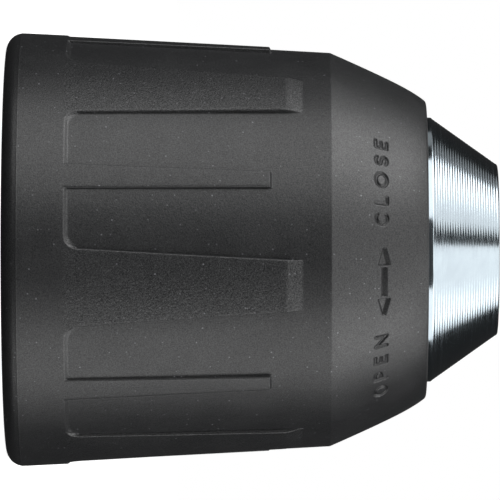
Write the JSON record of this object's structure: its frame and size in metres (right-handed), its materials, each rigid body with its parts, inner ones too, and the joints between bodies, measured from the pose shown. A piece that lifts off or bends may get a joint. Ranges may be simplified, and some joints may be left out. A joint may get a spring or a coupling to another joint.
{
  "type": "drill chuck",
  "caption": "Keyless drill chuck: black ribbed grip sleeve, bright turned conical nose, inclined jaws driven by a split nut, threaded spindle socket.",
  "frame": {"origin": "on the chuck's axis, in the plane of the sleeve's back edge, on which it stands", "axes": "+Z along the chuck's axis from the spindle socket to the nose; +Y towards jaw 1"},
  "size_m": [0.0424, 0.0424, 0.048],
  "materials": {
    "black_plastic": "black glass-filled nylon, fine spark-eroded grain with a soft sheen",
    "bright_steel": "bright turned steel with fine tool lines around the nose",
    "jaw_steel": "hardened and ground, lightly oiled",
    "nut_steel": "machined and hardened, dark grey",
    "plated_steel": "pressed sheet steel with bright zinc plating",
    "bearing_steel": "polished bearing steel",
    "spring_steel": "blued spring steel",
    "cage_plastic": "natural nylon"
  },
  "bodies": {
    "body": {"chuck_body": "bright_steel", "race_rear": "bearing_steel", "rear_cover": "plated_steel", "snap_ring": "spring_steel"},
    "sleeve": {"grip_sleeve": "black_plastic", "nut_collar": "plated_steel", "nut_half_a": "nut_steel", "nut_half_b": "nut_steel", "race_front": "bearing_steel"},
    "cage": {"ball_cage": "cage_plastic", "ball_01": "bearing_steel", "ball_02": "bearing_steel", "ball_03": "bearing_steel", "ball_04": "bearing_steel", "ball_05": "bearing_steel", "ball_06": "bearing_steel", "ball_07": "bearing_steel", "ball_08": "bearing_steel", "ball_09": "bearing_steel", "ball_10": "bearing_steel", "ball_11": "bearing_steel", "ball_12": "bearing_steel", "ball_13": "bearing_steel", "ball_14": "bearing_steel", "ball_15": "bearing_steel", "ball_16": "bearing_steel", "ball_17": "bearing_steel", "ball_18": "bearing_steel"},
    "jaw_1": {"jaw_1": "jaw_steel"},
    "jaw_2": {"jaw_2": "jaw_steel"},
    "jaw_3": {"jaw_3": "jaw_steel"}
  },
  "joints": [
    {"name": "sleeve_turn", "type": "hinge", "parent": "body", "child": "sleeve", "pos_m": [0, 0, 0.023], "axis": [0, 0, -1], "range_deg": [0, 3240]},
    {"name": "cage_turn", "type": "hinge", "parent": "body", "child": "cage", "pos_m": [0, 0, 0.01765], "axis": [0, 0, -1], "range_deg": [0, 1620]},
    {"name": "jaw_1_slide", "type": "slide", "parent": "body", "child": "jaw_1", "axis": [0, -0.3256, 0.9455], "range_m": [0, 0.0144]},
    {"name": "jaw_2_slide", "type": "slide", "parent": "body", "child": "jaw_2", "axis": [0.282, 0.1628, 0.9455], "range_m": [0, 0.0144]},
    {"name": "jaw_3_slide", "type": "slide", "parent": "body", "child": "jaw_3", "axis": [-0.282, 0.1628, 0.9455], "range_m": [0, 0.0144]}
  ],
  "couplings": [
    {"joint": "jaw_1_slide", "follows": "sleeve_turn", "m_per_rad": 0.00025464},
    {"joint": "jaw_2_slide", "follows": "sleeve_turn", "m_per_rad": 0.00025464},
    {"joint": "jaw_3_slide", "follows": "sleeve_turn", "m_per_rad": 0.00025464},
    {"joint": "cage_turn", "follows": "sleeve_turn", "ratio": 0.5}
  ]
}
